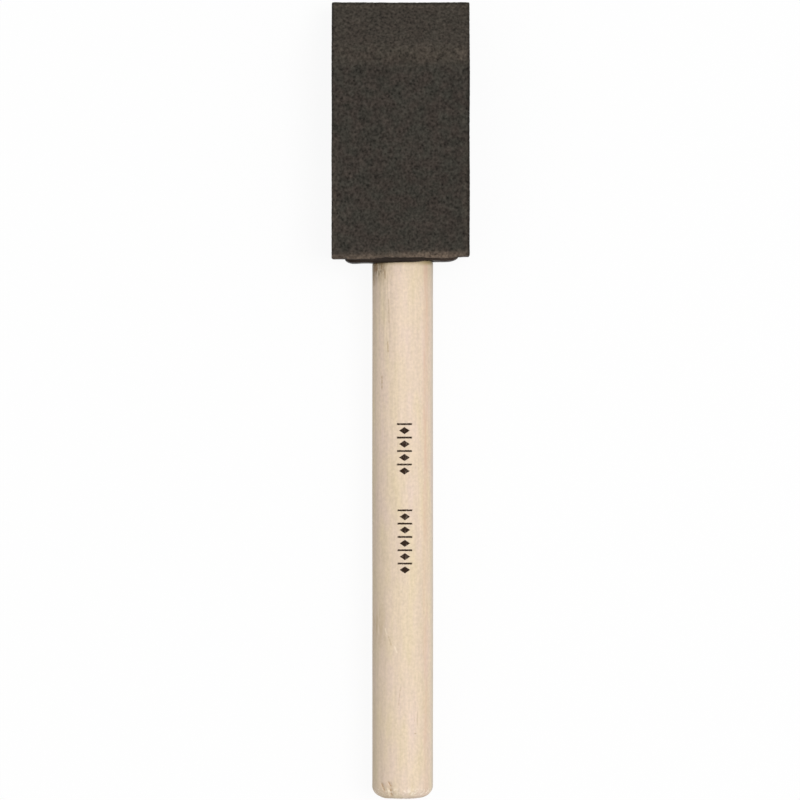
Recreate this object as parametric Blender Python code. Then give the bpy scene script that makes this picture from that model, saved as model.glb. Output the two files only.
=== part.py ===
"""Foam sponge brush: a chisel-cut foam block over a moulded plastic insert, on a turned wooden dowel.

The brush lies flat. +X runs along it from the butt of the handle to the foam's tip, +Y across its width
and +Z up through its thickness. The origin is under its middle, on the surface that the foam lies on.
Sizes are in metres. Every piece that fits another takes its size from that piece and from GAP.
"""

import math

import bmesh
import bpy

# Foam block, with a chisel edge at the tip and a pocket for the insert that opens at the base.
FOAM_WIDTH = 0.0254
FOAM_LENGTH = 0.0467
FOAM_THICKNESS = 0.0150
BEVEL_LENGTH = 0.0090
TIP_LAND = 0.0024  # thickness left at the chisel edge

# Flange of the insert, which stands a little proud of the foam's base.
FLANGE_DEPTH = 0.0024
FLANGE_PROUD = 0.0008
FLANGE_INSET = 0.0023  # foam left on each side of it
FLANGE_RIM = 0.0002  # how far it reaches past the handle, front and back
FLANGE_CORNER = 0.0026
FLANGE_EDGE = 0.0006  # rounding of its outer edge

# Socket of the insert, with ribs that grip the handle's tenon.
SOCKET_WALL = 0.0010
SOCKET_FLOOR = 0.0012
GRIP_RIBS = 6
GRIP_RIB_WIDTH = 0.0007
GRIP_RIB_HEIGHT = 0.0003

# Blade of the insert, which stiffens the foam.
BLADE_INSET = 0.0027  # foam left on each side of it
BLADE_TO_TIP = 0.0105  # foam left beyond its end
BLADE_THICKNESS = 0.0018
BLADE_END_THICKNESS = 0.0010
BLADE_TAPER = 0.0060
BLADE_CORNER = 0.0030

# Handle, a dowel with a rounded butt and a thinner tenon at its other end.
HANDLE_LENGTH = 0.0976  # shoulder to butt
HANDLE_DIAMETER = 0.0111
BUTT_ROUND_ALONG = 0.0022
BUTT_ROUND_ACROSS = 0.0027
SHOULDER_CHAMFER = 0.0003
TENON_LENGTH = 0.0160
TENON_DIAMETER = 0.0072
TENON_CHAMFER = 0.0006

# Adhesive.
FILM_THICKNESS = 0.0004
FILM_MARGIN = 0.0010  # bare blade left round the film
GLUE_DROP_DEPTH = 0.0010

GAP = 0.0003  # between two faces that touch on the real brush
OVERRUN = 0.0010  # how far a cutter passes the face it opens
WELD = 0.000001
ROUND_STEPS = 64
EDGE_STEPS = 6
SHARP_ANGLE = math.radians(30)

# Places along X, from the foam's tip back to the butt.
BRUSH_LENGTH = FOAM_LENGTH + FLANGE_PROUD + GAP + HANDLE_LENGTH
FOAM_TIP_X = BRUSH_LENGTH / 2
FOAM_BASE_X = FOAM_TIP_X - FOAM_LENGTH
FLANGE_OUTER_X = FOAM_BASE_X - FLANGE_PROUD
FLANGE_INNER_X = FLANGE_OUTER_X + FLANGE_DEPTH
FLANGE_MIDDLE_X = (FLANGE_OUTER_X + FLANGE_INNER_X) / 2
POCKET_START_X = FLANGE_MIDDLE_X - GAP
SHOULDER_X = FLANGE_OUTER_X - GAP
BUTT_X = SHOULDER_X - HANDLE_LENGTH
TENON_END_X = SHOULDER_X + TENON_LENGTH
GLUE_DROP_X = TENON_END_X + GAP
SOCKET_BOTTOM_X = GLUE_DROP_X + GLUE_DROP_DEPTH + GAP
SOCKET_END_X = SOCKET_BOTTOM_X + SOCKET_FLOOR
BLADE_END_X = FOAM_TIP_X - BLADE_TO_TIP
TAPER_X = BLADE_END_X - BLADE_TAPER
FILM_START_X = FLANGE_INNER_X + GAP
FILM_END_X = TAPER_X - FILM_MARGIN

# Sizes across the brush that follow from the ones above.
AXIS_Z = FOAM_THICKNESS / 2
FLANGE_WIDTH = FOAM_WIDTH - 2 * FLANGE_INSET
FLANGE_HEIGHT = HANDLE_DIAMETER + 2 * FLANGE_RIM
BORE_RADIUS = TENON_DIAMETER / 2 + GAP + GRIP_RIB_HEIGHT
SOCKET_RADIUS = BORE_RADIUS + SOCKET_WALL
BLADE_WIDTH = FOAM_WIDTH - 2 * BLADE_INSET
FILM_WIDTH = BLADE_WIDTH - 2 * FILM_MARGIN
FILM_Z = BLADE_THICKNESS / 2 + GAP  # height of its inner face over the blade's middle


def clear_scene():
    for obj in list(bpy.data.objects):
        bpy.data.objects.remove(obj)


def principled(name, colour, roughness):
    """A plain non-metallic material."""
    material = bpy.data.materials.new(name)
    material.use_nodes = True
    shader = material.node_tree.nodes["Principled BSDF"]
    shader.inputs["Base Color"].default_value = (*colour, 1)
    shader.inputs["Roughness"].default_value = roughness
    shader.inputs["Metallic"].default_value = 0
    material.diffuse_color = (*colour, 1)
    return material


def foam_material():
    return principled("charcoal_foam", (0.048, 0.041, 0.033), 0.95)


def plastic_material():
    return principled("black_plastic", (0.012, 0.009, 0.007), 0.5)


def wood_material():
    return principled("pale_birch", (0.80, 0.65, 0.49), 0.6)


def adhesive_material():
    return principled("amber_adhesive", (0.55, 0.38, 0.16), 0.35)


def finish_object(name, shape):
    """Turns a bmesh into an object with its faces pointing out, smooth where it is round."""
    bmesh.ops.recalc_face_normals(shape, faces=shape.faces)
    mesh = bpy.data.meshes.new(name)
    shape.to_mesh(mesh)
    shape.free()
    mesh.shade_smooth()
    mesh.set_sharp_from_angle(angle=SHARP_ANGLE)
    obj = bpy.data.objects.new(name, mesh)
    bpy.context.scene.collection.objects.link(obj)
    return obj


def loft(name, rings):
    """A closed solid through rings of points, each ring with as many points as the next."""
    shape = bmesh.new()
    loops = [[shape.verts.new(place) for place in ring] for ring in rings]
    for lower, upper in zip(loops, loops[1:]):
        for i in range(len(lower)):
            shape.faces.new((lower[i - 1], lower[i], upper[i], upper[i - 1]))
    shape.faces.new(loops[0])
    shape.faces.new(loops[-1])
    return finish_object(name, shape)


def lathe(name, profile):
    """A solid turned about the brush's long axis from (x, radius) points, the ends being on the axis."""
    shape = bmesh.new()
    points = [shape.verts.new((x, 0, AXIS_Z + radius)) for x, radius in profile]
    edges = [shape.edges.new(pair) for pair in zip(points, points[1:])]
    bmesh.ops.spin(
        shape,
        geom=points + edges,
        cent=(0, 0, AXIS_Z),
        axis=(1, 0, 0),
        angle=2 * math.pi,
        steps=ROUND_STEPS,
    )
    bmesh.ops.remove_doubles(shape, verts=shape.verts, dist=WELD)
    return finish_object(name, shape)


def arc(centre_x, centre_y, radius, start, end, steps):
    """Points of an arc, its angles in degrees."""
    angles = [math.radians(start + (end - start) * i / steps) for i in range(steps + 1)]
    return [(centre_x + radius * math.cos(a), centre_y + radius * math.sin(a)) for a in angles]


def rounded_rectangle(width, height, radius):
    """An outline of (across, up) points about the brush's axis."""
    side = width / 2 - radius
    top = height / 2 - radius
    corners = ((side, top, 0), (-side, top, 90), (-side, -top, 180), (side, -top, 270))
    points = []
    for across, up, start in corners:
        points += arc(across, up, radius, start, start + 90, EDGE_STEPS)
    return points


def along_x(outline, x):
    """An outline of (across, up) points as a ring at x."""
    return [(x, across, AXIS_Z + up) for across, up in outline]


def cut(obj, cutter):
    """Takes a hidden cutter away from an object."""
    combine(obj, cutter, "DIFFERENCE")


def join(obj, addition):
    """Joins a hidden shape to an object."""
    combine(obj, addition, "UNION")


def combine(obj, helper, operation):
    helper.hide_render = True
    helper.display_type = "WIRE"
    boolean = obj.modifiers.new(helper.name, "BOOLEAN")
    boolean.operation = operation
    boolean.solver = "EXACT"
    boolean.object = helper


def blade_ring(x, across, clearance):
    """A flat rectangle across the blade at x, as thick as the blade is there."""
    taper = max(0, x - TAPER_X) / BLADE_TAPER
    thickness = BLADE_THICKNESS + (BLADE_END_THICKNESS - BLADE_THICKNESS) * taper
    up = thickness / 2 + clearance
    return along_x(((across, up), (-across, up), (-across, -up), (across, -up)), x)


def blade_shape(name, start_x, clearance=0.0):
    """The blade from start_x to its tapered end with round corners, with a clearance all round."""
    centre_x = BLADE_END_X - BLADE_CORNER
    centre_y = BLADE_WIDTH / 2 - BLADE_CORNER
    radius = BLADE_CORNER + clearance
    corner = arc(centre_x, centre_y, radius, 90, 0, EDGE_STEPS)
    stations = [(start_x, centre_y + radius), (TAPER_X, centre_y + radius), *corner]
    return loft(name, [blade_ring(x, across, clearance) for x, across in stations])


def flange_shape(name):
    """A plate with round corners, its outer edge rounded."""
    rings = []
    for step in range(EDGE_STEPS + 1):
        angle = math.radians(90 * step / EDGE_STEPS)
        x = FLANGE_OUTER_X + FLANGE_EDGE * (1 - math.cos(angle))
        inset = FLANGE_EDGE * (1 - math.sin(angle))
        outline = rounded_rectangle(
            FLANGE_WIDTH - 2 * inset, FLANGE_HEIGHT - 2 * inset, FLANGE_CORNER - inset
        )
        rings.append(along_x(outline, x))
    outline = rounded_rectangle(FLANGE_WIDTH, FLANGE_HEIGHT, FLANGE_CORNER)
    rings.append(along_x(outline, FLANGE_INNER_X))
    return loft(name, rings)


def bore_shape(name):
    """The socket's bore as a cutter. Its outline steps in at each grip rib."""
    rib_half_angle = math.degrees(GRIP_RIB_WIDTH / 2 / BORE_RADIUS)
    pitch = 360 / GRIP_RIBS
    outline = []
    for rib in range(GRIP_RIBS):
        middle = rib * pitch
        rib_end = middle + rib_half_angle
        outline += arc(0, 0, BORE_RADIUS - GRIP_RIB_HEIGHT, middle - rib_half_angle, rib_end, 1)
        outline += arc(0, 0, BORE_RADIUS, rib_end, middle + pitch - rib_half_angle, EDGE_STEPS)
    rings = [along_x(outline, x) for x in (FLANGE_OUTER_X - OVERRUN, SOCKET_BOTTOM_X)]
    return loft(name, rings)


def cylinder(name, start_x, end_x, radius):
    return lathe(name, [(start_x, 0), (start_x, radius), (end_x, radius), (end_x, 0)])


def make_plastic_insert():
    """One moulding: flange, blade and a blind socket."""
    insert = flange_shape("plastic_insert")
    join(insert, cylinder("socket_body", FLANGE_MIDDLE_X, SOCKET_END_X, SOCKET_RADIUS))
    join(insert, blade_shape("blade_body", FLANGE_MIDDLE_X))
    cut(insert, bore_shape("socket_bore"))
    insert.data.materials.append(plastic_material())


def foam_block(name):
    """The block, from its side profile. The two bevels meet the land at the tip."""
    half_land = TIP_LAND / 2
    bevel_x = FOAM_TIP_X - BEVEL_LENGTH
    profile = (
        (FOAM_BASE_X, 0),
        (bevel_x, 0),
        (FOAM_TIP_X, AXIS_Z - half_land),
        (FOAM_TIP_X, AXIS_Z + half_land),
        (bevel_x, FOAM_THICKNESS),
        (FOAM_BASE_X, FOAM_THICKNESS),
    )
    sides = (-FOAM_WIDTH / 2, FOAM_WIDTH / 2)
    return loft(name, [[(x, y, z) for x, z in profile] for y in sides])


def flange_pocket(name):
    outline = rounded_rectangle(
        FLANGE_WIDTH + 2 * GAP, FLANGE_HEIGHT + 2 * GAP, FLANGE_CORNER + GAP
    )
    ends = (FOAM_BASE_X - OVERRUN, FLANGE_INNER_X + GAP)
    return loft(name, [along_x(outline, x) for x in ends])


def film_pocket(name):
    """Room for both adhesive films, with the blade between them."""
    across = FILM_WIDTH / 2 + GAP
    up = FILM_Z + FILM_THICKNESS + GAP
    corners = ((across, up), (-across, up), (-across, -up), (across, -up))
    return loft(name, [along_x(corners, x) for x in (POCKET_START_X, FILM_END_X + GAP)])


def make_foam_head():
    """The foam, with one pocket that fits the insert and the adhesive."""
    foam = foam_block("foam_head")
    cut(foam, flange_pocket("flange_pocket"))
    pocket_end_x = SOCKET_END_X + GAP
    cut(foam, cylinder("socket_pocket", POCKET_START_X, pocket_end_x, SOCKET_RADIUS + GAP))
    cut(foam, blade_shape("blade_pocket", POCKET_START_X, clearance=GAP))
    cut(foam, film_pocket("film_pocket"))
    foam.data.materials.append(foam_material())


def make_handle():
    """A dowel: rounded butt, straight body, shoulder and tenon."""
    radius = HANDLE_DIAMETER / 2
    profile = [(BUTT_X, 0)]
    for step in range(EDGE_STEPS + 1):
        angle = math.radians(90 * step / EDGE_STEPS)
        x = BUTT_X + BUTT_ROUND_ALONG * (1 - math.cos(angle))
        profile.append((x, radius - BUTT_ROUND_ACROSS * (1 - math.sin(angle))))
    profile += [
        (SHOULDER_X - SHOULDER_CHAMFER, radius),
        (SHOULDER_X, radius - SHOULDER_CHAMFER),
        (SHOULDER_X, TENON_DIAMETER / 2),
        (TENON_END_X - TENON_CHAMFER, TENON_DIAMETER / 2),
        (TENON_END_X, TENON_DIAMETER / 2 - TENON_CHAMFER),
        (TENON_END_X, 0),
    ]
    handle = lathe("handle", profile)
    handle.data.materials.append(wood_material())


def make_blade_adhesive(name, side, material):
    """A film on one face of the blade, open round the socket. side is 1 for the front, -1 for the back."""
    across = FILM_WIDTH / 2
    notch = SOCKET_RADIUS + GAP
    outline = (
        (FILM_START_X, -across),
        (FILM_END_X, -across),
        (FILM_END_X, across),
        (FILM_START_X, across),
        (FILM_START_X, notch),
        (SOCKET_END_X + GAP, notch),
        (SOCKET_END_X + GAP, -notch),
        (FILM_START_X, -notch),
    )
    heights = [AXIS_Z + side * z for z in (FILM_Z, FILM_Z + FILM_THICKNESS)]
    film = loft(name, [[(x, y, z) for x, y in outline] for z in heights])
    film.data.materials.append(material)


def make_socket_adhesive(material):
    """The drop between the tenon's end and the socket's floor, inside the grip ribs."""
    radius = BORE_RADIUS - GRIP_RIB_HEIGHT - GAP
    drop = cylinder("socket_adhesive", GLUE_DROP_X, GLUE_DROP_X + GLUE_DROP_DEPTH, radius)
    drop.data.materials.append(material)


def main():
    clear_scene()
    make_foam_head()
    make_plastic_insert()
    make_handle()
    adhesive = adhesive_material()
    make_blade_adhesive("blade_adhesive_front", 1, adhesive)
    make_blade_adhesive("blade_adhesive_back", -1, adhesive)
    make_socket_adhesive(adhesive)


main()
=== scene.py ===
"""The looks of the foam sponge brush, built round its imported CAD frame.

The brush lies flat, its long axis along X with the foam's tip at +X. The camera looks straight down with +X
up in the picture, so that -Y is on the right. Sizes are in metres, in the CAD's own frame.
"""

import math

import bmesh
import bpy
import numpy as np
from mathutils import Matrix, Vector, noise


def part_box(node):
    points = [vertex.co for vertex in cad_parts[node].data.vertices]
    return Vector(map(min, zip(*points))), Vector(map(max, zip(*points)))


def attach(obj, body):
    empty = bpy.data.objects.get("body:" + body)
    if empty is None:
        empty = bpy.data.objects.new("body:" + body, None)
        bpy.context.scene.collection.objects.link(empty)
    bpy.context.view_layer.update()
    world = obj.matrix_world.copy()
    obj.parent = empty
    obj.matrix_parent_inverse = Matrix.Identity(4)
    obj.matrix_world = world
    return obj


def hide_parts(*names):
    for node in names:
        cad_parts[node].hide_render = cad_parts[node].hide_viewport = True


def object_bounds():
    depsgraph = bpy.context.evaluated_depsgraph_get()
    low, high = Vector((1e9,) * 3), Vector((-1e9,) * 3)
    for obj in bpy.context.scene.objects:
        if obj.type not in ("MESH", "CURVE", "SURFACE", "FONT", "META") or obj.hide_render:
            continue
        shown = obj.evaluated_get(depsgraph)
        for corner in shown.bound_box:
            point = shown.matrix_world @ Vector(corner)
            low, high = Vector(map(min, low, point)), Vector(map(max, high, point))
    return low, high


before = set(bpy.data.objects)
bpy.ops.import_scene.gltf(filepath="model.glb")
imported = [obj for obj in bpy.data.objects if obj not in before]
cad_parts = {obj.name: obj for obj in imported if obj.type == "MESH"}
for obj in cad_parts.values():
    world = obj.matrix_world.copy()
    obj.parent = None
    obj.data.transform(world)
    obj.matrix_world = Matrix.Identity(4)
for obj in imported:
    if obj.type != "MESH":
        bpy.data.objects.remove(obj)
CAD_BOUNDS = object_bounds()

MM = 0.001

# Places and sizes read from the frame.
FOAM_LOW, FOAM_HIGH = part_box("foam_head")
INSERT_LOW, INSERT_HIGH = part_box("plastic_insert")
HANDLE_LOW, HANDLE_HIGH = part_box("handle")
BASE_X, TIP_X = FOAM_LOW.x, FOAM_HIGH.x
BUTT_X, TENON_X = HANDLE_LOW.x, HANDLE_HIGH.x
FLANGE_X, BLADE_X = INSERT_LOW.x, INSERT_HIGH.x
AXIS_Z = (FOAM_LOW.z + FOAM_HIGH.z) / 2
HALF_WIDTH = (FOAM_HIGH.y - FOAM_LOW.y) / 2
HALF_HEIGHT = (FOAM_HIGH.z - FOAM_LOW.z) / 2
HALF_FLANGE_WIDTH = (INSERT_HIGH.y - INSERT_LOW.y) / 2
HALF_FLANGE_HEIGHT = (INSERT_HIGH.z - INSERT_LOW.z) / 2
HANDLE_RADIUS = (HANDLE_HIGH.y - HANDLE_LOW.y) / 2

# Foam.
FOAM_STEP = 0.22 * MM  # size of the mesh's faces
FOAM_ASIDE = 0.37 * MM  # the head is glued on this far off the handle's axis
FOAM_INSET = 0.12 * MM  # the cut sides lie this far inside the CAD block
BEVEL = 9.0 * MM
HALF_LAND = 1.2 * MM
BEVEL_SOFTNESS = 0.28 * MM
FOAM_CORNER = 0.35 * MM
BASE_ROUND = 0.4 * MM
RIM_OVERHANG = 0.16 * MM  # the base rim on the upper side leans out over the flange
TIP_ROUND = 0.3 * MM
SIDE_ROUND = 0.12 * MM  # the same two edges, seen from above
SKEW = math.tan(math.radians(1.0))  # how far off square the foam's base and the flange are
SKEW_LENGTH = 12 * MM
SWELL = 0.22 * MM  # how far the upper face bulges over the socket
SWELL_HALF_WIDTH = 6.5 * MM
WAVE_DEPTH = 0.05 * MM
CELL = 0.55 * MM
CELL_DEPTH = 0.08 * MM
GRIT = 0.35 * MM
GRIT_DEPTH = 0.02 * MM

# Insert, and the room for it in the foam.
INSERT_ASIDE = 0.20 * MM
POCKET_GAP = 0.2 * MM
FLANGE_DEPTH = 2.4 * MM
FLANGE_CORNER = 2.6 * MM
FLANGE_END_ROUND = 2.0 * MM
FLANGE_PROUD = 0.87 * MM
FLANGE_EDGE = 0.3 * MM
FLANGE_POINTS = (84, 46, 9)  # along its width, its height and each corner
BORE_RADIUS = 4.2 * MM
BORE_LENGTH = 17.3 * MM
RIB_HALF_WIDTH = 0.35 * MM
RIB_HEIGHT = 0.3 * MM
SOCKET_RADIUS = 5.2 * MM
SOCKET_LENGTH = 18.5 * MM
BLADE_HALF_WIDTH = 10.0 * MM
BLADE_HALF_HEIGHT = 0.9 * MM
BLADE_END_HALF_HEIGHT = 0.5 * MM
BLADE_TAPER = 6.0 * MM
BLADE_CORNER = 3.0 * MM
SLOT_HALF_HEIGHT = 1.7 * MM

# Handle.
TENON_RADIUS = 3.6 * MM
SHOULDER_GAP = 0.10 * MM
SHOULDER_DENT = 0.30 * MM
BUTT_ALONG = 2.2 * MM
BUTT_ACROSS = 2.7 * MM
HANDLE_POINTS = 160
PITH_Y = 9 * MM  # the tree's middle, from which the growth rings on the butt are drawn
PITH_Z = AXIS_Z - 7 * MM
GROWTH_RING = 0.24 * MM

# Torn fibres on the butt's upper side: start and end from the butt, place across the handle, half width,
# turn off the grain.
TORN_GAPS = (
    (3.3 * MM, 2.2 * MM, 2.35 * MM, 0.20 * MM, 0.55),
    (2.2 * MM, 0.3 * MM, 2.10 * MM, 0.24 * MM, 0.20),
    (3.0 * MM, 1.3 * MM, 3.55 * MM, 0.18 * MM, 0.42),
)
TORN_SPLINTERS = (
    (2.2 * MM, 0.2 * MM, 2.58 * MM, 0.26 * MM, 0.26),
    (2.6 * MM, 1.1 * MM, 3.15 * MM, 0.22 * MM, 0.38),
)
TORN_DEPTH = 0.30 * MM

# Thin dark lines on the handle's upper side: the place they are measured from, start and end from there,
# place across the handle, half width, turn off the grain, strength.
DARK_LINES = (
    (FLANGE_X, 0.3 * MM, -2.0 * MM, 4.90 * MM, 0.60 * MM, 0.0, 0.95),
    (FLANGE_X, -1.6 * MM, -4.6 * MM, 5.25 * MM, 0.34 * MM, 0.0, 0.60),
    (FLANGE_X, 0.3 * MM, -1.5 * MM, 3.80 * MM, 0.42 * MM, 0.0, 0.85),
    (FLANGE_X, -1.1 * MM, -3.3 * MM, 3.25 * MM, 0.20 * MM, 0.05, 0.50),
    (FLANGE_X, -5.9 * MM, -12.3 * MM, 2.52 * MM, 0.20 * MM, 0.02, 0.30),
    (FLANGE_X, -14.3 * MM, -16.8 * MM, 2.70 * MM, 0.20 * MM, 0.04, 0.55),
    (FLANGE_X, -20.4 * MM, -23.6 * MM, 3.78 * MM, 0.22 * MM, 0.0, 0.55),
    (BUTT_X, 20.6 * MM, 16.4 * MM, 0.60 * MM, 0.22 * MM, -0.10, 0.30),
    (BUTT_X, 12.1 * MM, 11.8 * MM, -2.27 * MM, 0.34 * MM, 0.0, 0.50),
    (BUTT_X, 29.9 * MM, 27.7 * MM, 2.32 * MM, 0.24 * MM, 0.30, 0.35),
)

# Pale fibres lifted by the scratch: start and end from the butt, place across, turn off the grain.
LIFTED_FIBRES = (
    (31.3 * MM, 29.8 * MM, 3.05 * MM, 0.25),
    (28.1 * MM, 26.5 * MM, 1.28 * MM, 0.36),
)

# Stamped marks. Their places and lengths are shares of the pitch, and the width a share of the row's.
BAR_PLACE = 0.12
LOZENGE_PLACE = 0.60
LOZENGE_HALF_LENGTH = 0.28
LOZENGE_HALF_WIDTH = 0.72

# Most of a noise's values lie in one of these.
USUAL_RANGE = (0.3, 0.7)
WIDE_RANGE = (0.25, 0.75)

# Colours, as linear red, green and blue.
FOAM_GREEN_GREY = (0.0305, 0.0283, 0.0231)
FOAM_BROWN_GREY = (0.0337, 0.0274, 0.0228)
# Painted light colour, for the lit bevel.
FOAM_LIT_BEVEL = (0.0323, 0.0267, 0.0212)
FOAM_CREASE = (0.0349, 0.0285, 0.0221)
# Paler fibres at the base, also used for the painted edge light.
FOAM_FIBRE_AND_EDGE_LIGHT = (0.107, 0.080, 0.060)
FOAM_DUST = (0.066, 0.047, 0.036)
PLASTIC_DARK = (0.0150, 0.0100, 0.0070)
PLASTIC_PALE = (0.0250, 0.0170, 0.0125)
ADHESIVE_DARK = (0.50, 0.33, 0.13)
ADHESIVE_PALE = (0.62, 0.45, 0.22)
WOOD_YELLOW = (0.588, 0.482, 0.336)
WOOD_PINK = (0.591, 0.469, 0.387)
WOOD_STREAK = (0.560, 0.385, 0.290)
# Painted shadow colour, for the wood next to the flange.
FOAM_SHADOW_ON_WOOD = (0.24, 0.165, 0.085)
STAIN = (0.070, 0.045, 0.023)
SHOULDER_OLIVE = (0.38, 0.30, 0.15)
# Painted shade colours, for the handle's sides.
LEFT_SIDE_SHADE = (0.42, 0.34, 0.26)
LEFT_EDGE_SHADE = (0.34, 0.29, 0.20)
BROWN_PATCH = (0.36, 0.26, 0.15)
RIGHT_EDGE_GREY = (0.40, 0.41, 0.40)
FLECK = (0.32, 0.21, 0.11)
DARK_LINE = (0.25, 0.155, 0.075)
LIFTED_FIBRE = (0.80, 0.70, 0.55)
BROWNED_WOOD = (0.47, 0.33, 0.19)
TORN_GAP = (0.27, 0.16, 0.075)
SPLINTER = (0.82, 0.71, 0.53)
FRAYED_WOOD = (0.82, 0.73, 0.62)
INK = (0.017, 0.0060, 0.0010)
PAPER_DARK = (0.055, 0.055, 0.055)
PAPER_PALE = (0.060, 0.060, 0.060)

# Camera, floor and light.
VIEW_HEIGHT = 146.3 * MM  # what the picture takes in from top to bottom
VIEW_ASIDE = 0.49 * MM
LENS = 300
SENSOR = 36
NEAREST = 0.01
FARTHEST = 50
FLOOR_POINTS = 48
FLOOR_ROWS = ((2.5, 0.0), (4.0, 0.12), (5.5, 0.5))  # radius, and height over the underside of the brush
PAPER_GLOW = 0.915
SKY_LOW = 0.15  # strength at the horizon
SKY_HIGH = 1.20  # strength overhead
KEY_STRENGTH = 1.70
KEY_ANGLE = math.radians(26)
KEY_FROM = (0.06, -0.37, 1)


# ---------------------------------------------------------------- node trees


class Tree:
    """A material's node tree, with a short way to add the nodes used here."""

    def __init__(self, name):
        self.material = bpy.data.materials.new(name)
        self.material.use_nodes = True
        self.nodes = self.material.node_tree.nodes
        self.links = self.material.node_tree.links
        self.shader = self.nodes["Principled BSDF"]
        self.place = self.add("ShaderNodeTexCoord").outputs["Object"]

    def add(self, kind, **settings):
        node = self.nodes.new(kind)
        for key, value in settings.items():
            setattr(node, key, value)
        return node

    def put(self, socket, value):
        """Links a socket's source, or sets its constant."""
        if isinstance(value, bpy.types.NodeSocket):
            self.links.new(value, socket)
        else:
            socket.default_value = value

    def math(self, operation, a, b=0.0):
        node = self.add("ShaderNodeMath", operation=operation)
        self.put(node.inputs[0], a)
        self.put(node.inputs[1], b)
        return node.outputs[0]

    def product(self, *values):
        result = values[0]
        for value in values[1:]:
            result = self.math("MULTIPLY", result, value)
        return result

    def axes(self):
        """X, Y and Z of the point, in metres."""
        node = self.add("ShaderNodeSeparateXYZ")
        self.put(node.inputs[0], self.place)
        return node.outputs[0], node.outputs[1], node.outputs[2]

    def upper(self):
        """1 above the brush's axis, 0 below it."""
        return self.math("GREATER_THAN", self.axes()[2], AXIS_Z)

    def stretched(self, x, y, z):
        """The point in units of these three lengths, so that a pattern of size 1 has that size."""
        node = self.add("ShaderNodeVectorMath", operation="DIVIDE")
        self.put(node.inputs[0], self.place)
        node.inputs[1].default_value = (x, y, z)
        return node.outputs[0]

    def noise(self, x, y, z, detail=2.0, distortion=0.0):
        """Noise whose grain is x by y by z."""
        node = self.add("ShaderNodeTexNoise")
        self.put(node.inputs["Vector"], self.stretched(x, y, z))
        node.inputs["Scale"].default_value = 1.0
        node.inputs["Detail"].default_value = detail
        node.inputs["Distortion"].default_value = distortion
        return node.outputs["Fac"]

    def clouds(self, size, detail=2.0):
        """Noise with round grains of this size."""
        return self.noise(size, size, size, detail)

    def cells(self, size):
        """Distance within rounded cells of this size."""
        node = self.add("ShaderNodeTexVoronoi")
        self.put(node.inputs["Vector"], self.stretched(size, size, size))
        node.inputs["Scale"].default_value = 1.0
        return node.outputs["Distance"]

    def ramp(self, value, low, high, to_low=0.0, to_high=1.0, smooth=True):
        """value from low to high becomes to_low to to_high, clamped."""
        node = self.add("ShaderNodeMapRange")
        node.interpolation_type = "SMOOTHSTEP" if smooth else "LINEAR"
        self.put(node.inputs["Value"], value)
        node.inputs["From Min"].default_value = low
        node.inputs["From Max"].default_value = high
        node.inputs["To Min"].default_value = to_low
        node.inputs["To Max"].default_value = to_high
        return node.outputs["Result"]

    def bell(self, value, middle, width):
        """1 at middle, falling to 0 at width on either side."""
        away = self.math("ABSOLUTE", self.math("SUBTRACT", value, middle))
        return self.ramp(away, 0.0, width, 1.0, 0.0)

    def mix(self, share, a, b):
        """Colour a, turning into colour b as share goes from 0 to 1."""
        node = self.add("ShaderNodeMix", data_type="RGBA")
        self.put(node.inputs["Factor"], share)
        for name, value in (("A", a), ("B", b)):
            socket = next(s for s in node.inputs if s.name == name and s.type == "RGBA")
            self.put(socket, value if isinstance(value, bpy.types.NodeSocket) else (*value, 1))
        return next(s for s in node.outputs if s.type == "RGBA")

    def scaled(self, colour, factor):
        """A colour times a number."""
        node = self.add("ShaderNodeVectorMath", operation="SCALE")
        self.put(node.inputs[0], colour)
        self.put(node.inputs["Scale"], factor)
        return node.outputs[0]

    def bump(self, height, distance, strength):
        node = self.add("ShaderNodeBump")
        node.inputs["Strength"].default_value = strength
        node.inputs["Distance"].default_value = distance
        self.put(node.inputs["Height"], height)
        return node.outputs["Normal"]

    def finish(self, colour, roughness, normal=None, **constants):
        """Feeds the shader. Constants are set on its own sockets."""
        self.put(self.shader.inputs["Base Color"], colour)
        self.put(self.shader.inputs["Roughness"], roughness)
        if normal is not None:
            self.put(self.shader.inputs["Normal"], normal)
        for name, value in constants.items():
            self.shader.inputs[name.replace("_", " ")].default_value = value
        return self.material


# ---------------------------------------------------------------- foam


def foam_grain(t):
    """Rounded cells, the walls between them, and how light the grain they make is."""
    pores = t.cells(0.62 * MM)
    walls = t.clouds(0.46 * MM, detail=1.0)
    grit = t.clouds(0.24 * MM, detail=1.0)
    grain = t.math("ADD", t.product(pores, 0.9), t.product(walls, 2.4))
    grain = t.math("ADD", grain, t.product(grit, 0.9))
    shade = t.ramp(grain, 1.05, 3.35, 0.23, 1.917, smooth=False)
    shade = t.product(shade, t.ramp(t.clouds(4 * MM, detail=3.0), *WIDE_RANGE, 0.90, 1.10, smooth=False))
    return pores, walls, shade


def edge_shade_lines(t, from_tip):
    """Painted shade: thin dark lines painted along the tip and down both long edges."""
    x, y, z = t.axes()
    from_right = t.math("SUBTRACT", y, FOAM_ASIDE - HALF_WIDTH + FOAM_INSET)
    from_left = t.math("SUBTRACT", FOAM_ASIDE + HALF_WIDTH - FOAM_INSET, y)
    right = t.product(t.bell(from_right, 0.22 * MM, 0.42 * MM), t.ramp(from_tip, 5 * MM, 14 * MM, 0.2, 0.50))
    left = t.product(t.bell(from_left, 0.18 * MM, 0.36 * MM), t.ramp(from_tip, 12 * MM, 24 * MM, 0.34, 0.1))
    tip = t.product(t.bell(from_tip, 0.26 * MM, 0.34 * MM), 0.34)
    return t.math("MAXIMUM", t.math("MAXIMUM", right, left), tip)


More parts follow.
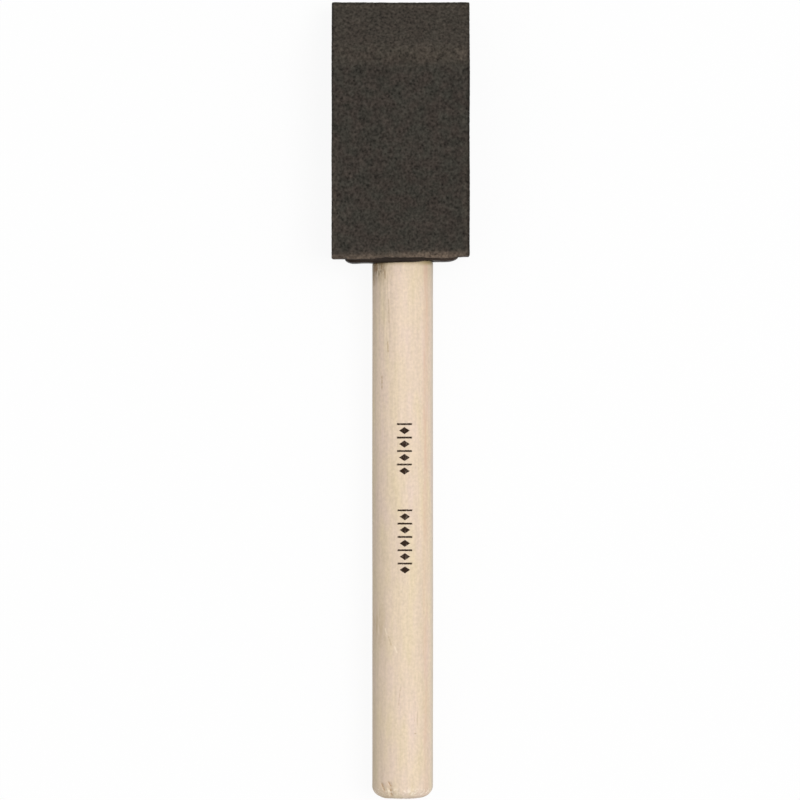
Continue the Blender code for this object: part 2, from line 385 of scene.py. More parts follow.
def fibres_and_edge_light(t, from_tip):
    """Paler, warmer fibres along the cut base, painted edge light down both long edges, and a paler band
    next to the tip.
    """
    x, y, z = t.axes()
    cut = t.math("ADD", x, t.product(y, SKEW))
    ragged = t.product(t.ramp(t.clouds(0.7 * MM), 0.2, 0.8, -1.0, 1.0), 0.3 * MM)
    cut = t.math("ADD", cut, ragged)
    rim = t.ramp(cut, BASE_X - 0.1 * MM, BASE_X + 1.9 * MM, 1.0, 0.0)
    across = t.ramp(y, -5 * MM, 6 * MM, 1.12, 0.68)
    right_corner = t.ramp(y, -11 * MM, -9 * MM, 0.70, 1.0)
    rim = t.product(rim, rim, across, right_corner)
    side = t.math("ABSOLUTE", t.math("SUBTRACT", y, FOAM_ASIDE))
    # Painted edge light: the long edges painted paler, as lit from the white surroundings.
    edge = t.product(
        t.ramp(side, HALF_WIDTH - 1.8 * MM, HALF_WIDTH - 0.6 * MM),
        t.ramp(from_tip, 20 * MM, 34 * MM),
        0.14,
    )
    tip = t.product(t.bell(from_tip, 0.85 * MM, 0.40 * MM), 0.16)
    return t.math("MAXIMUM", t.math("MAXIMUM", rim, edge), tip)


def foam_material():
    """Charcoal open-cell foam: fine grain of pores and cell walls, mottled, paler fibres at the base,
    painted edge light and lit bevel, painted dark edge lines.
    """
    t = Tree("foam_cells")
    x, y, z = t.axes()
    pores, walls, shade = foam_grain(t)
    patches = t.clouds(2.4 * MM)
    tint = t.mix(t.ramp(patches, *USUAL_RANGE), FOAM_GREEN_GREY, FOAM_BROWN_GREY)

    # The crease where the bevel starts is rubbed paler, most of all towards -Y.
    from_tip = t.math("SUBTRACT", TIP_X, x)
    crease = t.product(
        t.ramp(from_tip, 7.2 * MM, 9.0 * MM),
        t.ramp(from_tip, 10.2 * MM, 13.0 * MM, 1.0, 0.0),
        t.ramp(y, -6 * MM, 9 * MM, 0.92, 0.60),
        t.ramp(t.clouds(3 * MM), *USUAL_RANGE, 0.88, 1.0),
    )
    # Painted light: the bevel is painted lighter and a little warmer than the flat, as if lit more.
    bevel = t.ramp(from_tip, 7.5 * MM, 9.0 * MM, 1.0, 0.0)
    tint = t.mix(t.product(bevel, 0.65), tint, FOAM_LIT_BEVEL)
    tint = t.mix(t.product(crease, 0.85), tint, FOAM_CREASE)
    shade = t.product(shade, t.math("ADD", 1.0, t.product(crease, 0.38)))
    shade = t.product(shade, t.math("ADD", 1.0, t.product(bevel, 0.17)))
    # Painted shade: dark lines along the foam's edges.
    shade = t.product(shade, t.math("SUBTRACT", 1.0, edge_shade_lines(t, from_tip)))

    colour = t.scaled(tint, shade)
    # Paler fibres at the base, and painted edge light along the long edges.
    fibres = t.product(fibres_and_edge_light(t, from_tip), 0.85)
    colour = t.mix(fibres, colour, t.scaled(FOAM_FIBRE_AND_EDGE_LIGHT, shade))
    height = t.math("ADD", t.product(pores, 0.6), t.product(walls, 0.8))
    normal = t.bump(height, 0.12 * MM, 0.45)
    return t.finish(colour, 1.0, normal, Specular_IOR_Level=0.06, Sheen_Weight=0.04, Sheen_Roughness=0.5)


# ---------------------------------------------------------------- plastic and adhesive


def plastic_material():
    """Brownish-black moulded plastic with a faint moulded grain and some foam dust."""
    t = Tree("moulded_black_plastic")
    x, y, z = t.axes()
    cloud = t.clouds(2 * MM)
    colour = t.mix(t.ramp(cloud, *USUAL_RANGE), PLASTIC_DARK, PLASTIC_PALE)

    # Foam dust lies along the flange next to the foam, least of all over the socket.
    beside_socket = t.ramp(t.math("ABSOLUTE", t.math("ADD", y, 0.5 * MM)), 4 * MM, 6 * MM, 0.30, 1.0)
    crumbs = t.ramp(t.clouds(0.5 * MM), 0.3, 0.6, 0.4, 1.0)
    dust = t.product(t.ramp(x, FLANGE_X + 0.05 * MM, BASE_X, 0.0, 1.0), beside_socket, crumbs)
    colour = t.mix(dust, colour, FOAM_DUST)
    normal = t.bump(t.clouds(0.12 * MM), 0.02 * MM, 0.5)
    roughness = t.ramp(cloud, *USUAL_RANGE, 0.42, 0.58)
    return t.finish(colour, roughness, normal, Specular_IOR_Level=0.08)


def adhesive_material():
    """Set adhesive, amber and a little cloudy."""
    t = Tree("set_adhesive")
    cloud = t.clouds(1.5 * MM)
    colour = t.mix(t.ramp(cloud, *USUAL_RANGE), ADHESIVE_DARK, ADHESIVE_PALE)
    roughness = t.ramp(cloud, *USUAL_RANGE, 0.25, 0.45)
    return t.finish(colour, roughness, t.bump(cloud, 0.05 * MM, 0.4))


# ---------------------------------------------------------------- wood


def dash(t, start, end, middle_y, half_width, slant=0.0):
    """1 along a short line on the upper side from X = start to end, turned off the grain by slant."""
    x, y, z = t.axes()
    middle_x = (start + end) / 2
    leaning = t.product(t.math("SUBTRACT", x, middle_x), -slant)
    across = t.bell(t.math("ADD", y, leaning), middle_y, half_width)
    along = t.math("ABSOLUTE", t.math("SUBTRACT", x, middle_x))
    half_length = abs(end - start) / 2
    along = t.ramp(along, half_length * 0.6, half_length, 1.0, 0.0)
    return t.product(across, along, t.upper())


def wood_grain(t, fibres, specks):
    """Yellowish and pinkish birch with lengthwise streaks, short fibres, specks and pores."""
    broad = t.noise(55 * MM, 1.5 * MM, 1.5 * MM, distortion=0.3)
    streaks = t.noise(18 * MM, 0.50 * MM, 0.50 * MM, distortion=0.2)
    pores = t.noise(1.5 * MM, 0.16 * MM, 0.16 * MM, detail=1.0)
    hue = t.noise(9.0 * MM, 2.4 * MM, 2.4 * MM, detail=3.0)
    colour = t.mix(t.ramp(hue, 0.28, 0.72, smooth=False), WOOD_YELLOW, WOOD_PINK)
    shade = t.ramp(broad, *USUAL_RANGE, 0.975, 1.025, smooth=False)
    shade = t.product(shade, t.ramp(streaks, *WIDE_RANGE, 0.958, 1.036, smooth=False))
    shade = t.product(shade, t.ramp(fibres, *WIDE_RANGE, 0.966, 1.032, smooth=False))
    shade = t.product(shade, t.ramp(specks, *WIDE_RANGE, 0.928, 1.070, smooth=False))
    shade = t.product(shade, t.ramp(pores, 0.66, 0.80, 1.0, 0.90))
    return t.scaled(colour, shade), streaks


def pink_streak(t, colour):
    """A pinkish streak down the right side of the picture, strongest near the foam."""
    x, y, z = t.axes()
    wander = t.product(t.math("SUBTRACT", t.clouds(30 * MM), 0.5), 0.8 * MM)
    line = t.product(
        t.bell(t.math("ADD", y, wander), -4.18 * MM, 0.75 * MM),
        t.ramp(t.noise(5 * MM, 0.5 * MM, 0.5 * MM), 0.32, 0.62, 0.30, 1.0),
        t.ramp(x, -30 * MM, 0.0, 0.60, 1.0),
        t.upper(),
    )
    return t.mix(t.product(line, 0.8), colour, WOOD_STREAK)


def shadow_and_marks_near_flange(t, colour):
    """Painted shadow of the foam on the left of the handle near the flange, fibres soaked dark, a darker
    olive ring round the shoulder, and lines down from there.
    """
    x, y, z = t.axes()
    # Painted shadow: the wood on the left, next to the flange, painted darker brown in patches.
    foam_shadow = t.product(
        t.ramp(x, FLANGE_X - 5.0 * MM, FLANGE_X - 0.2 * MM),
        t.ramp(y, 1.2 * MM, 4.4 * MM),
        t.ramp(t.noise(2.2 * MM, 0.36 * MM, 0.36 * MM, detail=3.0), 0.40, 0.56),
    )
    colour = t.mix(t.product(foam_shadow, 0.66), colour, FOAM_SHADOW_ON_WOOD)
    stain = t.product(
        t.ramp(x, FLANGE_X - 4.2 * MM, FLANGE_X - 0.4 * MM),
        t.ramp(y, 2.6 * MM, 4.4 * MM),
        t.ramp(t.noise(1.1 * MM, 0.24 * MM, 0.24 * MM), 0.47, 0.56),
    )
    colour = t.mix(t.product(stain, 0.85), colour, STAIN)
    # A darker olive ring round the shoulder against the flange, strongest towards the right.
    bead = t.ramp(t.bell(y, -4.6 * MM, 2.4 * MM), 0.0, 1.0, 0.42, 0.85)
    shoulder_ring = t.product(t.ramp(x, FLANGE_X - 0.9 * MM, FLANGE_X - 0.1 * MM), t.upper(), bead)
    colour = t.mix(shoulder_ring, colour, SHOULDER_OLIVE)
    lines = t.ramp(t.noise(7 * MM, 0.26 * MM, 0.26 * MM, detail=1.0), *USUAL_RANGE, -0.10, 0.05)
    near_flange = t.ramp(x, FLANGE_X - 28 * MM, FLANGE_X - 3 * MM)
    lined = t.product(near_flange, t.bell(y, 2.9 * MM, 2.1 * MM), t.upper())
    return t.scaled(colour, t.math("ADD", 1.0, t.product(lines, lined)))


def side_shade_and_patch(t, colour):
    """Painted shade: the side away from the light painted darker, its edge darker still in patches, and the
    other edge greyer; and a brown patch.
    """
    x, y, z = t.axes()
    # Painted shade on the left side, away from the light.
    left_side_shade = t.product(t.ramp(x, -30 * MM, 0.0, 1.0, 0.0), t.ramp(y, 0.0, 4.0 * MM))
    colour = t.mix(t.product(left_side_shade, 0.20), colour, LEFT_SIDE_SHADE)
    # Painted shade along the left edge, in patches.
    left_edge_shade = t.product(
        t.ramp(y, 3.9 * MM, HANDLE_RADIUS),
        t.ramp(t.noise(5 * MM, 1.2 * MM, 1.2 * MM, detail=3.0), *USUAL_RANGE, 0.5, 1.0),
    )
    colour = t.mix(t.product(left_edge_shade, 0.30), colour, LEFT_EDGE_SHADE)
    patch = t.product(
        t.bell(x, BUTT_X + 31.5 * MM, 5.5 * MM),
        t.ramp(y, 2.4 * MM, 4.8 * MM),
        t.ramp(z, AXIS_Z - 0.5 * MM, AXIS_Z + 2.0 * MM),
        t.ramp(t.noise(2.8 * MM, 0.6 * MM, 0.6 * MM), 0.35, 0.60),
    )
    colour = t.mix(t.product(patch, 0.42), colour, BROWN_PATCH)
    # Painted shade: the right edge painted greyer and darker.
    greyed_right_edge = t.ramp(y, -5.45 * MM, -4.9 * MM, 0.30, 0.0)
    return t.mix(greyed_right_edge, colour, RIGHT_EDGE_GREY)


def flecks_and_scratches(t, colour, broken):
    """Dark flecks and pore lines, and a slanting scratch with pale lifted fibres beside it."""
    flecks = t.product(
        t.ramp(t.noise(2.4 * MM, 0.26 * MM, 0.26 * MM), 0.66, 0.74),
        t.ramp(t.noise(9 * MM, 2.5 * MM, 2.5 * MM), 0.5, 0.62),
    )
    colour = t.mix(t.product(flecks, 0.32), colour, FLECK)
    for origin, start, end, middle_y, half_width, slant, strength in DARK_LINES:
        line = dash(t, origin + start, origin + end, middle_y, half_width, slant)
        colour = t.mix(t.product(line, broken, strength), colour, DARK_LINE)
    for start, end, middle_y, slant in LIFTED_FIBRES:
        lifted = dash(t, BUTT_X + start, BUTT_X + end, middle_y, 0.24 * MM, slant)
        colour = t.mix(t.product(lifted, 0.38), colour, LIFTED_FIBRE)
    return colour


def torn_butt(t, colour, broken):
    """Torn fibres at the butt: dark gaps, pale splinters beside them, and pale specks round the edge."""
    x, y, z = t.axes()
    near_butt = t.ramp(x, BUTT_X + 1.5 * MM, BUTT_X + 3.8 * MM, 1.0, 0.0)
    browned = t.product(near_butt, t.bell(y, 3.0 * MM, 2.2 * MM))
    colour = t.mix(t.product(browned, t.upper(), 0.35), colour, BROWNED_WOOD)
    for start, end, middle_y, half_width, slant in TORN_GAPS:
        gap = dash(t, BUTT_X + start, BUTT_X + end, middle_y, half_width * 1.2, slant)
        colour = t.mix(t.product(gap, broken, 0.72), colour, TORN_GAP)
    for start, end, middle_y, half_width, slant in TORN_SPLINTERS:
        splinter = dash(t, BUTT_X + start, BUTT_X + end, middle_y, half_width, slant)
        colour = t.mix(t.product(splinter, 0.45), colour, SPLINTER)
    frayed = t.product(
        t.bell(x, BUTT_X + 1.2 * MM, 1.1 * MM),
        t.ramp(t.clouds(0.45 * MM, detail=1.0), 0.50, 0.66),
    )
    return t.mix(t.product(frayed, 0.55), colour, FRAYED_WOOD)


def end_grain(t, colour):
    """The butt's flat end is darker, with arcs of yearly growth round a pith outside the dowel."""
    x, y, z = t.axes()
    from_pith = t.add("ShaderNodeVectorMath", operation="DISTANCE")
    t.put(from_pith.inputs[0], t.place)
    from_pith.inputs[1].default_value = (BUTT_X, PITH_Y, PITH_Z)
    year = t.math("SINE", t.math("DIVIDE", from_pith.outputs["Value"], GROWTH_RING))
    on_end = t.ramp(x, BUTT_X + 0.10 * MM, BUTT_X + 0.7 * MM, 1.0, 0.0)
    darker = t.product(on_end, t.ramp(year, -1.0, 1.0, 0.02, 0.16))
    return t.scaled(colour, t.math("SUBTRACT", 1.0, darker))


def ink_marks(t, start, count, pitch, half_width, middle_y):
    """A row of stamped marks down the handle: thin bars across it with a solid lozenge after each."""
    x, y, z = t.axes()
    smudge = t.product(t.math("SUBTRACT", t.clouds(0.20 * MM), 0.5), 0.16)
    along = t.math("DIVIDE", t.math("SUBTRACT", start, x), pitch)
    across = t.math("DIVIDE", t.math("SUBTRACT", y, middle_y), half_width)
    across = t.math("ABSOLUTE", across)
    inside = t.product(
        t.math("GREATER_THAN", along, 0.0),
        t.math("LESS_THAN", along, float(count)),
        t.upper(),
    )
    place = t.math("FRACT", along)
    from_bar = t.math("ABSOLUTE", t.math("SUBTRACT", place, BAR_PLACE))
    from_bar = t.math("ADD", from_bar, t.product(smudge, 0.5))
    bar = t.product(
        t.ramp(from_bar, 0.055, 0.085, 1.0, 0.0),
        t.ramp(t.math("ADD", across, smudge), 0.92, 1.02, 1.0, 0.0),
    )
    from_lozenge = t.math("ABSOLUTE", t.math("SUBTRACT", place, LOZENGE_PLACE))
    from_lozenge = t.math("DIVIDE", from_lozenge, LOZENGE_HALF_LENGTH)
    lozenge = t.math("ADD", from_lozenge, t.math("DIVIDE", across, LOZENGE_HALF_WIDTH))
    lozenge = t.ramp(t.math("ADD", lozenge, t.product(smudge, 1.5)), 0.90, 1.02, 1.0, 0.0)
    return t.product(t.math("MAXIMUM", bar, lozenge), inside)


def wood_material():
    """Pale birch with grain, stains, painted side shade, painted shadow near the foam and two rows of
    stamped marks.
    """
    t = Tree("pale_birch_dowel")
    fibres = t.noise(1.7 * MM, 0.36 * MM, 0.36 * MM, detail=1.0)
    specks = t.noise(0.52 * MM, 0.50 * MM, 0.50 * MM, detail=1.0)
    broken = t.ramp(t.clouds(0.5 * MM, detail=1.0), 0.35, 0.55, 0.35, 1.0)
    colour, streaks = wood_grain(t, fibres, specks)
    colour = pink_streak(t, colour)
    colour = shadow_and_marks_near_flange(t, colour)
    colour = side_shade_and_patch(t, colour)
    colour = flecks_and_scratches(t, colour, broken)
    colour = torn_butt(t, colour, broken)
    colour = end_grain(t, colour)

    first = ink_marks(t, FLANGE_X - 29.3 * MM, 4, 2.45 * MM, 1.42 * MM, -0.32 * MM)
    second = ink_marks(t, FLANGE_X - 45.0 * MM, 5, 2.42 * MM, 1.38 * MM, -0.40 * MM)
    ink = t.math("MAXIMUM", first, second)
    worn_ink = t.product(t.ramp(specks, 0.2, 0.45, 0.80, 1.0), t.ramp(fibres, 0.25, 0.45, 0.88, 1.0))
    colour = t.mix(t.product(ink, worn_ink), colour, INK)

    relief = t.math("ADD", t.product(fibres, 0.6), t.product(streaks, 0.4))
    normal = t.bump(relief, 0.06 * MM, 0.35)
    roughness = t.ramp(fibres, *USUAL_RANGE, 0.52, 0.66)
    return t.finish(colour, roughness, normal, Specular_IOR_Level=0.12)


def floor_material():
    """White paper on a softly lit table."""
    t = Tree("white_paper")
    colour = t.mix(t.clouds(0.4), PAPER_DARK, PAPER_PALE)
    return t.finish(
        colour,
        0.9,
        Specular_IOR_Level=0.0,
        Emission_Color=(1, 1, 1, 1),
        Emission_Strength=PAPER_GLOW,
    )


# ---------------------------------------------------------------- meshes


def ring(half_width, half_height, radius, along_width, along_height, along_corner):
    """Points (y, z) round a rounded rectangle about the origin, the same number for any size."""
    side, top = half_width - radius, half_height - radius
    runs = []
    corners = ((side, top, 0), (-side, top, 90), (-side, -top, 180), (side, -top, 270))
    starts = ((half_width, -top), (side, half_height), (-half_width, top), (-side, -half_height))
    ends = ((half_width, top), (-side, half_height), (-half_width, -top), (side, -half_height))
    for index, (start, end, corner) in enumerate(zip(starts, ends, corners)):
        count = along_width if index % 2 else along_height
        share = np.linspace(0, 1, count, endpoint=False)[:, None]
        runs.append(np.array(start) * (1 - share) + np.array(end) * share)
        angles = np.radians(corner[2] + np.linspace(0, 90, along_corner, endpoint=False))
        centre = np.array(corner[:2])
        runs.append(centre + radius * np.stack([np.cos(angles), np.sin(angles)], axis=1))
    return np.concatenate(runs)


def skin(name, rings, close=True):
    """A mesh through rings of points. Ends that don't meet on a line are closed with a face."""
    count = len(rings[0])
    points = np.concatenate(rings)
    faces = []
    for level in range(len(rings) - 1):
        first = level * count
        for i in range(count):
            j = (i + 1) % count
            faces.append((first + i, first + j, first + count + j, first + count + i))
    if close:
        faces.append(tuple(reversed(range(count))))
        faces.append(tuple(range((len(rings) - 1) * count, len(rings) * count)))
    mesh = bpy.data.meshes.new(name)
    mesh.from_pydata(points.tolist(), [], faces)
    return mesh


def merge_points(mesh, distance):
    """Joins points closer than distance, drops the faces that collapse, and turns the rest outwards."""
    shape = bmesh.new()
    shape.from_mesh(mesh)
    bmesh.ops.remove_doubles(shape, verts=shape.verts, dist=distance)
    bmesh.ops.dissolve_degenerate(shape, edges=shape.edges, dist=distance)
    bmesh.ops.recalc_face_normals(shape, faces=shape.faces)
    shape.to_mesh(mesh)
    shape.free()


def show(name, mesh, material, smooth=True):
    """Puts the mesh in the scene, smooth all over or only across edges of less than 35 degrees."""
    obj = bpy.data.objects.new(name, mesh)
    mesh.materials.append(material)
    if smooth:
        mesh.shade_smooth()
    else:
        mesh.set_sharp_from_angle(angle=math.radians(35))
    bpy.context.scene.collection.objects.link(obj)
    return obj


def places_of(mesh):
    found = np.empty(len(mesh.vertices) * 3, np.float32)
    mesh.vertices.foreach_get("co", found)
    return found.reshape(-1, 3).astype(float)


def normals_of(mesh):
    found = np.empty(len(mesh.vertices) * 3, np.float32)
    mesh.vertex_normals.foreach_get("vector", found)
    return found.reshape(-1, 3).astype(float)


def set_places(mesh, places):
    mesh.vertices.foreach_set("co", places.astype(np.float32).ravel())
    mesh.update()


def step(value, low, high):
    """0 below low, 1 above high, smooth between."""
    share = np.clip((value - low) / (high - low), 0, 1)
    return share * share * (3 - 2 * share)


def sampled(function, points, scale):
    """function of each point divided by scale."""
    return np.array([function(Vector(p)) for p in (points / scale).tolist()])


def wobble(places, size, row):
    """Noise along one axis, its waves about size long. row picks one of its many patterns."""
    return np.array([noise.noise(Vector((place / size, *row))) for place in places.tolist()])


def steps_between(start, end, size):
    """Even places from start to end, about size apart, without the end."""
    count = max(1, round(abs(end - start) / size))
    return np.linspace(start, end, count, endpoint=False)


def skewed(places):
    """How far each point moves to put the flange and the foam's base askew, dying out along the foam."""
    x, y = places[:, 0], places[:, 1]
    share = 1 - step(x, BASE_X, BASE_X + SKEW_LENGTH)
    share *= step(x, FLANGE_X - 8 * MM, FLANGE_X - 1 * MM)
    return np.stack([-SKEW * y * share, 0 * x, 0 * x], axis=1)


def foam_half_height(x):
    """The block's half thickness at x: level, then the bevel down to the land."""
    slope = (HALF_HEIGHT - HALF_LAND) / BEVEL
    past = (x - (TIP_X - BEVEL)) * slope / BEVEL_SOFTNESS
    return HALF_HEIGHT - BEVEL_SOFTNESS * np.logaddexp(0, past)


def foam_rings():
    """Rings from the inner end of the pocket over the base's rim and along the block to its tip."""
    counts = (round(2 * HALF_WIDTH / FOAM_STEP), round(2 * HALF_HEIGHT / FOAM_STEP), 3)

    def at(x, outline, aside=0.0):
        places = np.empty((len(outline), 3))
        places[:, 0] = x
        places[:, 1] = outline[:, 0] + aside
        places[:, 2] = outline[:, 1] + AXIS_Z
        return places

    flange = ring(
        HALF_FLANGE_WIDTH + POCKET_GAP,
        HALF_FLANGE_HEIGHT + POCKET_GAP,
        FLANGE_CORNER,
        *counts,
    )
    angles = np.arctan2(flange[:, 1], flange[:, 0])
    directions = np.stack([np.cos(angles), np.sin(angles)], axis=1)
    across = (BLADE_HALF_WIDTH + POCKET_GAP) / np.maximum(np.abs(directions[:, 0]), 1e-6)
    up = SLOT_HALF_HEIGHT / np.maximum(np.abs(directions[:, 1]), 1e-6)
    slot_reach = np.minimum(across, up)
    socket_reach = np.maximum(slot_reach, SOCKET_RADIUS + POCKET_GAP)
    slot = directions * slot_reach[:, None]
    socket = directions * socket_reach[:, None]

    flat = slot * np.array([1, 0])
    flange_floor = FLANGE_X + FLANGE_DEPTH + POCKET_GAP
    socket_end = FLANGE_X + SOCKET_LENGTH + POCKET_GAP
    slot_end = BLADE_X + POCKET_GAP
    base = BASE_X + 0.05 * MM
    rings = [at(slot_end, flat, INSERT_ASIDE)]
    rings += [at(x, slot, INSERT_ASIDE) for x in np.linspace(slot_end, socket_end, 9)]
    rings += [at(x, socket, INSERT_ASIDE) for x in np.linspace(socket_end, flange_floor, 7)]
    rings += [at(x, flange, INSERT_ASIDE) for x in np.linspace(flange_floor, base + 0.3 * MM, 6)]

    def outer(x, inset=0.0, side_inset=0.0):
        half_height = foam_half_height(x) - inset
        radius = min(FOAM_CORNER, half_height * 0.6)
        half_width = HALF_WIDTH - FOAM_INSET - side_inset
        return at(x, ring(half_width, half_height, radius, *counts), FOAM_ASIDE)

    rim = outer(base, BASE_ROUND, SIDE_ROUND)
    mouth = at(base, flange, INSERT_ASIDE)
    shares = np.linspace(0, 1, 9)
    rings += [mouth * (1 - share) + rim * share for share in shares]
    for angle in np.radians(np.linspace(20, 90, 5)):
        along, in_by = 1 - math.cos(angle), 1 - math.sin(angle)
        rings.append(outer(base + BASE_ROUND * along, BASE_ROUND * in_by, SIDE_ROUND * in_by))
    for x in steps_between(base + BASE_ROUND, TIP_X - TIP_ROUND, FOAM_STEP)[1:]:
        rings.append(outer(x))
    for angle in np.radians(np.linspace(0, 90, 4)):
        along, in_by = 1 - math.sin(angle), 1 - math.cos(angle)
        rings.append(outer(TIP_X - TIP_ROUND * along, TIP_ROUND * in_by, SIDE_ROUND * in_by))
    land = rings[-1]
    middle = np.array([0, FOAM_ASIDE, AXIS_Z])
    for share in np.linspace(1, 0, 6)[1:]:
        narrower = 1 - (1 - share) * HALF_LAND / HALF_WIDTH
        rings.append(middle + (land - middle) * np.array([1, narrower, share]))
    return rings


def make_foam():
    """The foam block: skewed base cut, soft bevel, a slight swell over the socket and open cells."""
    mesh = skin("foam_block", foam_rings(), close=False)
    merge_points(mesh, 0.002 * MM)
    places = places_of(mesh)
    outside = np.ones(len(places))
    x, y, z = places.T
    pocket = (
        (np.abs(y - INSERT_ASIDE) < HALF_FLANGE_WIDTH + 2 * POCKET_GAP)
        & (np.abs(z - AXIS_Z) < HALF_FLANGE_HEIGHT + 2 * POCKET_GAP)
        & (x < BLADE_X + 2 * POCKET_GAP)
    )
    outside[pocket] = 0.0

    # The upper face swells a little over the socket, where the rim is drawn back, and no face is quite flat.
    over_socket = np.exp(-((y / SWELL_HALF_WIDTH) ** 2)) * (1 - step(x, BASE_X + 6 * MM, BASE_X + 26 * MM))
    upward = step(z, AXIS_Z, AXIS_Z + HALF_HEIGHT)
    left_sag = step(y, 4 * MM, 6.5 * MM) * (1 - step(y, 9.5 * MM, 11 * MM))
    right_sag = step(-y, 3.5 * MM, 5.5 * MM) * (1 - step(-y, 8.8 * MM, 10.2 * MM))
    lean = RIM_OVERHANG * (1 + 1.3 * left_sag + 0.9 * right_sag)
    lean += 0.12 * MM * wobble(y, 2.6 * MM, (0.4, 0.6))
    lean += 0.06 * MM * wobble(y, 0.8 * MM, (0.1, 0.3))
    lean *= 1 - step(x, BASE_X, BASE_X + 3 * MM)
    normals = normals_of(mesh)
    waves = sampled(noise.noise, places * np.array([1, 1, 0.5]), 9 * MM)
    places += skewed(places)
    places[:, 2] += SWELL * over_socket * upward
    places[:, 0] -= lean * upward * outside
    places += normals * (WAVE_DEPTH * waves * outside)[:, None]

    # Cells cut open leave small pits.
    nearest = sampled(lambda p: noise.voronoi(p)[0][0], places, CELL)
    grit = sampled(noise.noise, places, GRIT)
    depth = GRIT_DEPTH * grit - CELL_DEPTH * np.clip(1.0 - nearest * 1.3, 0, 1)
    places += normals * (depth * outside)[:, None]
    low = places[:, 2] < FOAM_LOW.z
    places[low, 2] = FOAM_LOW.z
    set_places(mesh, places)
    return show("foam_block", mesh, foam_material())


def dented(places):
    """How far the flange's face falls back at each point, where a bead of wood fills it."""
    y, z = places[:, 1], places[:, 2]
    return SHOULDER_DENT * np.exp(-(((y + 4.4 * MM) / (1.5 * MM)) ** 2)) * step(z, AXIS_Z, AXIS_Z + 2 * MM)


def insert_rings():
    """Rings from the bottom of the bore out over the flange's face and along the blade to its end."""
    flange = ring(HALF_FLANGE_WIDTH, HALF_FLANGE_HEIGHT, FLANGE_CORNER, *FLANGE_POINTS)
    angles = np.arctan2(flange[:, 1], flange[:, 0])
    directions = np.stack([np.cos(angles), np.sin(angles)], axis=1)
    centre = np.array([INSERT_ASIDE, AXIS_Z])

    def at(x, outline, middle=centre):
        return np.column_stack([np.full(len(outline), x), outline + middle])

    axis = np.array([0, AXIS_Z])
    beside_rib = np.abs((np.degrees(angles) + 30) % 60 - 30) * np.pi / 180 * BORE_RADIUS
    bore_reach = np.where(beside_rib < RIB_HALF_WIDTH, BORE_RADIUS - RIB_HEIGHT, BORE_RADIUS)
    ribbed = directions * bore_reach[:, None]
    plain = directions * BORE_RADIUS
    bore_end = FLANGE_X + BORE_LENGTH
    rings = [at(bore_end, directions * 0.05 * MM, axis), at(bore_end, ribbed * 0.5, axis)]
    rings += [at(x, ribbed, axis) for x in np.linspace(bore_end, FLANGE_X + 1 * MM, 12)]
    rings += [at(FLANGE_X + 0.9 * MM, plain, axis), at(FLANGE_X + 0.3 * MM, plain, axis)]
    mouth = at(FLANGE_X, directions * (BORE_RADIUS + 0.3 * MM), axis)

    def flange_ring(x, inset):
        size = (HALF_FLANGE_WIDTH - inset, HALF_FLANGE_HEIGHT - inset, FLANGE_CORNER - inset)
        return at(x, ring(*size, *FLANGE_POINTS))

    face = flange_ring(FLANGE_X, FLANGE_EDGE)
    rings += [mouth * (1 - share) + face * share for share in np.linspace(0, 1, 12)]
    for angle in np.radians((30, 60, 90)):
        along, in_by = 1 - math.cos(angle), 1 - math.sin(angle)
        rings.append(flange_ring(FLANGE_X + FLANGE_EDGE * along, FLANGE_EDGE * in_by))
    back = FLANGE_X + FLANGE_DEPTH
    rings += [flange_ring(x, 0) for x in np.linspace(FLANGE_X + 0.8 * MM, back - FLANGE_EDGE, 4)]
    rings.append(flange_ring(back, FLANGE_EDGE))

    def reach(half_width, half_height):
        across = half_width / np.maximum(np.abs(directions[:, 0]), 1e-6)
        up = half_height / np.maximum(np.abs(directions[:, 1]), 1e-6)
        return np.minimum(across, up)

    blade = reach(BLADE_HALF_WIDTH, BLADE_HALF_HEIGHT)
    socket = directions * np.maximum(blade, SOCKET_RADIUS)[:, None]
    socket_end = FLANGE_X + SOCKET_LENGTH
    rings += [at(x, socket) for x in np.linspace(back, socket_end, 10)]
    for x in np.linspace(socket_end, BLADE_X - BLADE_TAPER, 8):
        rings.append(at(x, directions * blade[:, None]))
    for x in np.linspace(BLADE_X - BLADE_TAPER, BLADE_X, 20)[1:]:
        share = (x - BLADE_X + BLADE_TAPER) / BLADE_TAPER
        half_height = BLADE_HALF_HEIGHT * (1 - share) + BLADE_END_HALF_HEIGHT * share
        into_corner = max(0.0, x - BLADE_X + BLADE_CORNER)
        half_width = BLADE_HALF_WIDTH - BLADE_CORNER + math.sqrt(BLADE_CORNER**2 - into_corner**2)
        rings.append(at(x, directions * reach(half_width, half_height)[:, None]))
    return rings


def make_insert():
    """The moulded insert: a flange with rounded ends, the ribbed socket and the blade."""
    mesh = skin("moulded_insert", insert_rings())
    merge_points(mesh, 0.001 * MM)
    places = places_of(mesh)
    x, y, z = places.T
    end = np.clip((np.abs(y - INSERT_ASIDE) - HALF_FLANGE_WIDTH + FLANGE_END_ROUND) / FLANGE_END_ROUND, 0, 1)
    face = FLANGE_X + FLANGE_PROUD * (1 - np.sqrt(1 - end**2))
    flash = 0.16 * MM * wobble(y, 3.4 * MM, (0.3, 0.7))
    flash += 0.03 * MM * wobble(y, 0.7 * MM, (0.9, 0.2))
    from_axis = np.hypot(y, z - AXIS_Z)
    under_handle = from_axis < HANDLE_RADIUS + 0.05 * MM
    flash[under_handle] = np.maximum(flash[under_handle], 0)
    front = (x < FLANGE_X + FLANGE_PROUD + 0.1 * MM) & (from_axis > BORE_RADIUS + 0.6 * MM)
    shift = FLANGE_PROUD - (BASE_X - FLANGE_X)
    places[front, 0] = np.maximum(x, face + flash + dented(places))[front] - shift
    places += skewed(places)
    set_places(mesh, places)
    merge_points(mesh, 0.002 * MM)
    return show("moulded_insert", mesh, plastic_material(), smooth=False)


